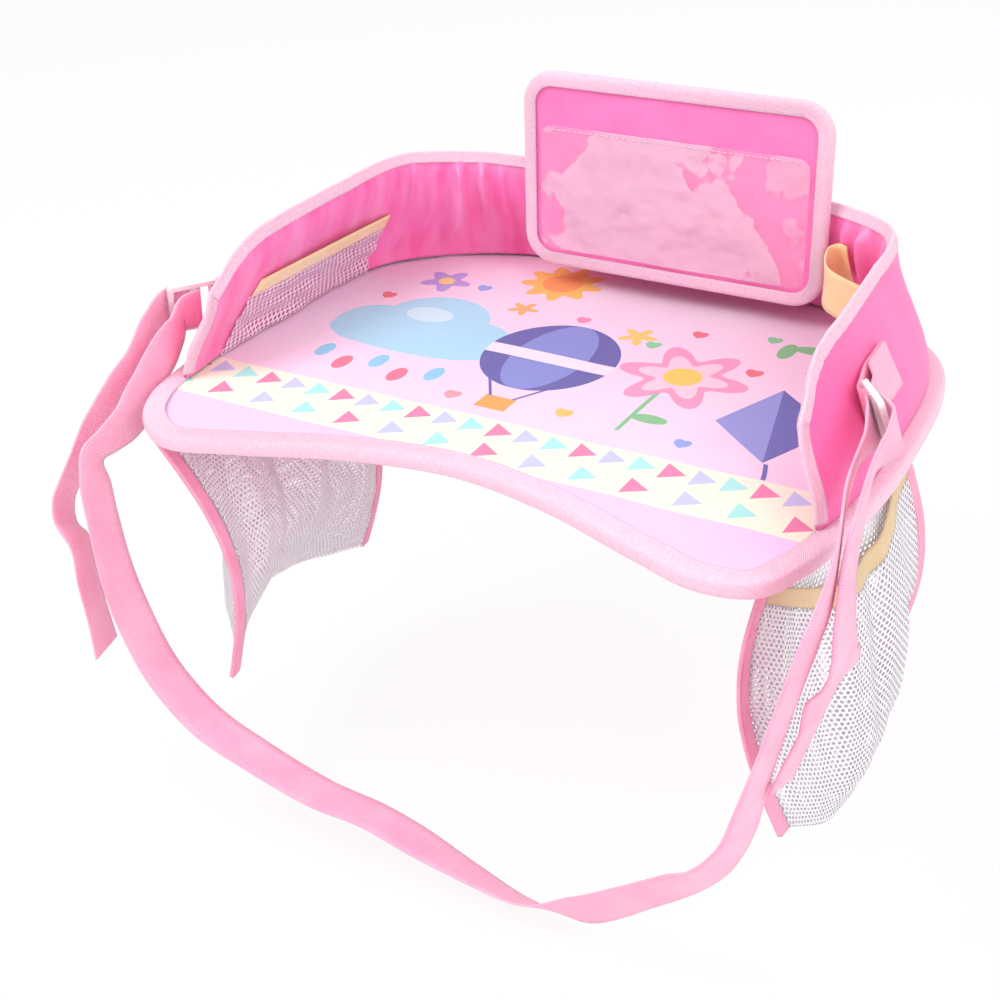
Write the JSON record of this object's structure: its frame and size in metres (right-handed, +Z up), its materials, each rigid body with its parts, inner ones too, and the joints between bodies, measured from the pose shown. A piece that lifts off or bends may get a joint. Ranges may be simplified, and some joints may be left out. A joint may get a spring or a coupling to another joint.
{
  "type": "car seat tray table",
  "caption": "Soft travel tray for a child's car seat with padded walls, a clear tablet holder, mesh side pockets, a bottle loop and a buckled belt.",
  "frame": {"origin": "middle of the flat underside, which lies on the child's lap", "axes": "+X is the right of someone who looks over the tray from the child's side, +Y points away from the child, +Z up"},
  "size_m": [0.4711, 0.3595, 0.3683],
  "materials": {
    "lining": "plain woven polyester lining",
    "board": "sewn-in stiffening board",
    "foam": "thin padding",
    "print": "printed and coated woven polyester",
    "tape": "pale pink woven binding",
    "cover": "pink coated polyester",
    "satin": "gathered pink satin",
    "net": "pale grey knitted net",
    "pink_net": "pink open net",
    "elastic": "folded elastic edging",
    "ribbon": "apricot ribbed ribbon",
    "webbing": "pink ribbed webbing",
    "buckle": "clear moulded plastic",
    "window": "clear flexible vinyl",
    "strip": "hook and loop tape"
  },
  "bodies": {
    "tray": {"base_board": "board", "base_foam": "foam", "bottle_loop": "ribbon", "bottom_lining": "lining", "buckle_tab_left": "webbing", "buckle_tab_right": "webbing", "inner_pocket_elastic": "elastic", "inner_pocket_net": "pink_net", "print_panel": "print", "rim_binding": "tape", "wall_binding": "tape", "wall_core": "foam", "wall_cover": "cover", "wall_lining": "satin", "wall_loop_strip": "strip"},
    "holder": {"holder_back": "lining", "holder_binding": "tape", "holder_board": "board", "holder_front": "cover", "holder_hook_strip": "strip", "holder_window": "window"},
    "pocket_left": {"pocket_net_left": "net", "pocket_elastic_left": "elastic", "pocket_front_tape_left": "webbing", "pocket_rear_tape_left": "webbing"},
    "pocket_right": {"pocket_net_right": "net", "pocket_elastic_right": "elastic", "pocket_front_tape_right": "webbing", "pocket_rear_tape_right": "webbing"},
    "belt": {"belt_webbing": "webbing", "buckle_left": "buckle", "buckle_right": "buckle"}
  },
  "joints": [
    {"name": "holder_lift", "type": "slide", "parent": "tray", "child": "holder", "axis": [0, 0, 1], "range_m": [0, 0.16]},
    {"name": "pocket_left_swing", "type": "hinge", "parent": "tray", "child": "pocket_left", "pos_m": [-0.18633, -0.06372, -0.0011], "axis": [-0.1273, 0.9919, 0], "range_deg": [-40, 20]},
    {"name": "pocket_right_swing", "type": "hinge", "parent": "tray", "child": "pocket_right", "pos_m": [0.18924, -0.07183, -0.0006], "axis": [0.111, 0.9938, 0], "range_deg": [-4, 40]},
    {"name": "belt_swing", "type": "hinge", "parent": "tray", "child": "belt", "pos_m": [0, -0.0518, 0.0435], "axis": [-1, 0, 0], "range_deg": [0, 60], "deforming": ["buckle_tab_left", "buckle_tab_right"]}
  ]
}
